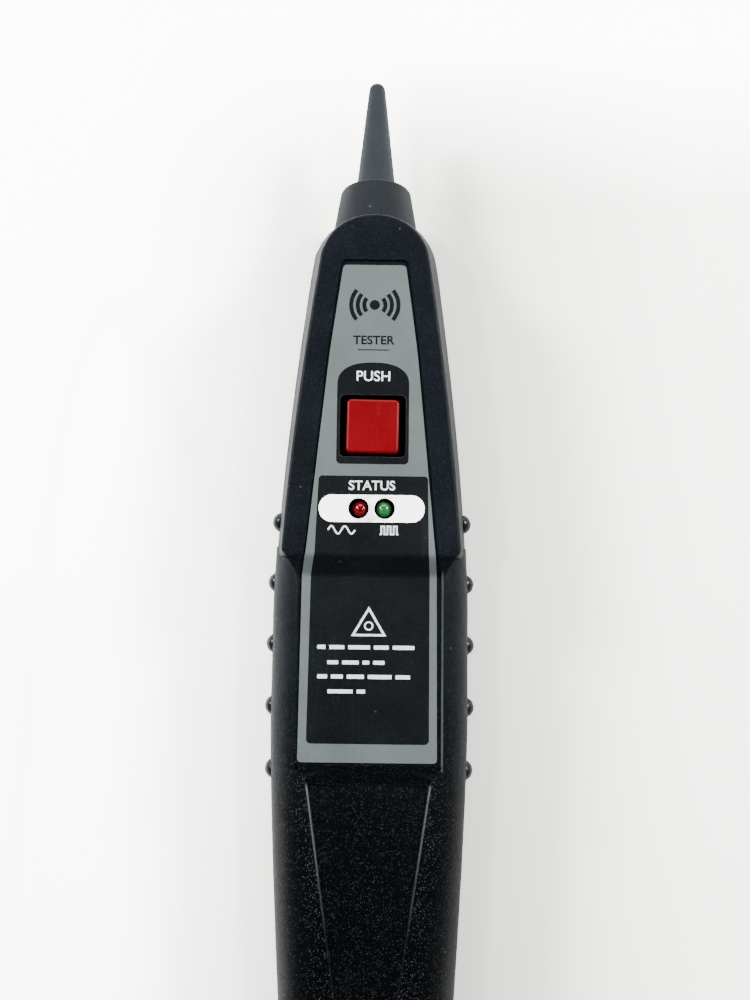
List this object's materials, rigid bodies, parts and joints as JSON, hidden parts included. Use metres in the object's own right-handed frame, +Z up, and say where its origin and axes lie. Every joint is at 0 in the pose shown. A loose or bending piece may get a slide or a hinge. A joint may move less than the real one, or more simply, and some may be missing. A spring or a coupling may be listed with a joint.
{
  "type": "cable tracing probe",
  "caption": "Handheld cable tracing probe: pointed pick-up tip, flat raised head with push button and signal lights, studded grips and a scooped handle.",
  "frame": {"origin": "on the surface the probe lies on, under the middle of its length and width", "axes": "+Y towards the probe tip, +Z up through the button face, +X to the right seen from above with the tip up"},
  "size_m": [0.0432, 0.238, 0.029],
  "materials": {
    "black_textured_plastic": "fine spark-eroded grain",
    "black_smooth_plastic": "satin",
    "brass": "satin",
    "grey_wire": "satin",
    "white_led": "clear epoxy",
    "printed_label": "satin printed film",
    "red_plastic": "glossy",
    "grey_plastic": "satin",
    "spring_steel": "satin",
    "red_led": "tinted epoxy",
    "green_led": "tinted epoxy",
    "tinned_metal": "bright",
    "black_rubber": "glossy",
    "green_board": "solder mask",
    "chip_plastic": "matt",
    "can_aluminium": "satin",
    "cone_paper": "paper",
    "magnet_ferrite": "matt",
    "foam": "open-cell foam",
    "battery_jacket": "lacquered",
    "red_wire": "satin",
    "black_wire": "satin",
    "zinc_screw": "zinc plated"
  },
  "bodies": {
    "housing": {"front_shell": "black_textured_plastic", "rear_shell": "black_textured_plastic", "nose_collar": "black_smooth_plastic", "probe_tip": "black_smooth_plastic", "tip_contact": "brass", "tip_lead": "grey_wire", "torch_led": "white_led", "torch_leads": "grey_wire", "label_overlay": "printed_label", "switch_body": "grey_plastic", "button_spring": "spring_steel", "led_red": "red_led", "led_green": "green_led", "led_pins": "tinned_metal", "right_grip_strip": "black_rubber", "left_grip_strip": "black_rubber", "circuit_board": "green_board", "amplifier_chip": "chip_plastic", "capacitors": "can_aluminium", "resistors": "chip_plastic", "speaker_basket": "spring_steel", "speaker_cone": "cone_paper", "speaker_magnet": "magnet_ferrite", "speaker_gasket": "foam", "speaker_leads": "grey_wire", "battery": "battery_jacket", "battery_terminals": "tinned_metal", "battery_snap": "chip_plastic", "battery_lead_red": "red_wire", "battery_lead_black": "black_wire", "foam_pad": "foam", "volume_control": "grey_plastic", "tail_board": "green_board", "tail_leads": "grey_wire", "earphone_jack": "black_smooth_plastic", "case_screws": "zinc_screw"},
    "button": {"push_button": "red_plastic", "switch_plunger": "grey_plastic"},
    "door": {"battery_door": "black_textured_plastic"},
    "volume": {"volume_wheel": "black_smooth_plastic", "volume_shaft": "spring_steel", "wheel_screw": "spring_steel"}
  },
  "joints": [
    {"name": "button_press", "type": "slide", "parent": "housing", "child": "button", "axis": [0, 0, -1], "range_m": [0, 0.0012], "stiffness_N_per_m": 500, "springref_m": -0.0015, "deforming": ["button_spring"]},
    {"name": "door_slide", "type": "slide", "parent": "housing", "child": "door", "axis": [0, -1, 0], "range_m": [0, 0.06]},
    {"name": "volume_turn", "type": "hinge", "parent": "housing", "child": "volume", "pos_m": [0.0096, -0.092, 0.013], "axis": [0, 0, 1], "range_deg": [-140, 140]}
  ]
}
